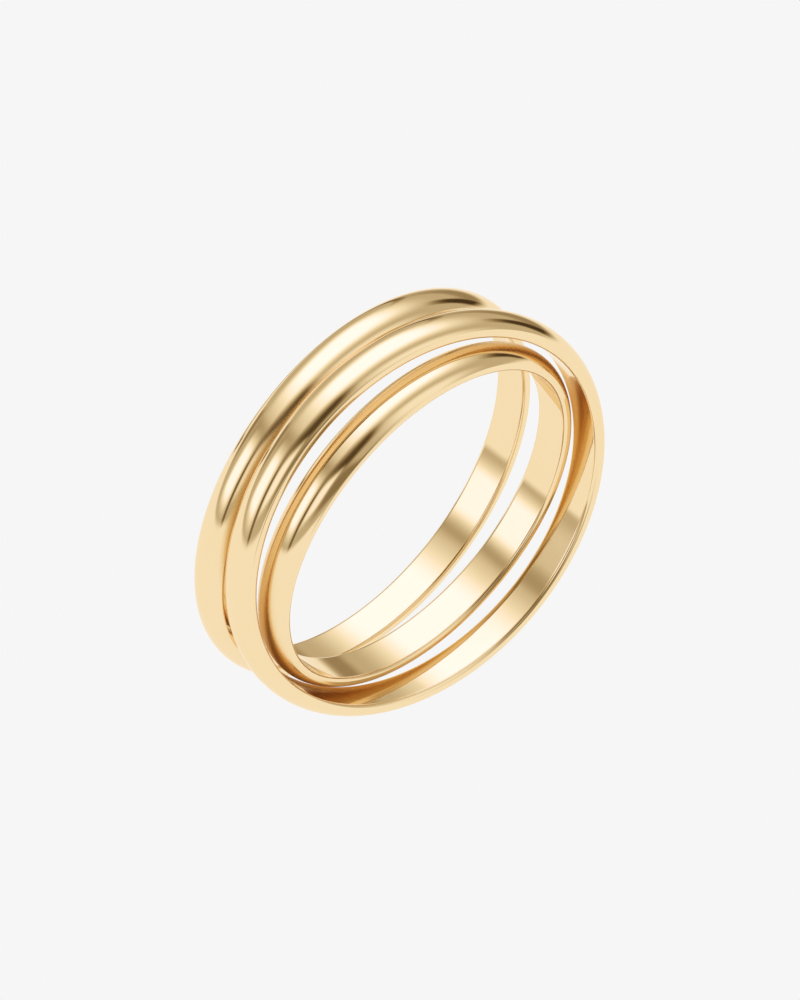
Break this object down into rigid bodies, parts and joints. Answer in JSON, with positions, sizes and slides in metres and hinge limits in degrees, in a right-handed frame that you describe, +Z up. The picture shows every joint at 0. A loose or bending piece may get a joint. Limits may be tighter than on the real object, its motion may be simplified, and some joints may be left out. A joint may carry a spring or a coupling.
{
  "type": "stackable ring",
  "caption": "Stackable finger ring of plain domed metal bands that lie level or cross over one another and are worn together on one finger.",
  "frame": {"origin": "under the middle of the stack's outline, on the surface that the back band lies on", "axes": "+Z up, along the axis of the back band; -Y is the side where the crossing band comes down to the back band"},
  "size_m": [0.0214, 0.0218, 0.0075],
  "materials": {
    "polished_gold": "polished"
  },
  "bodies": {
    "root": {"back_band": "polished_gold", "crossing_band": "polished_gold", "front_band": "polished_gold"}
  },
  "joints": []
}
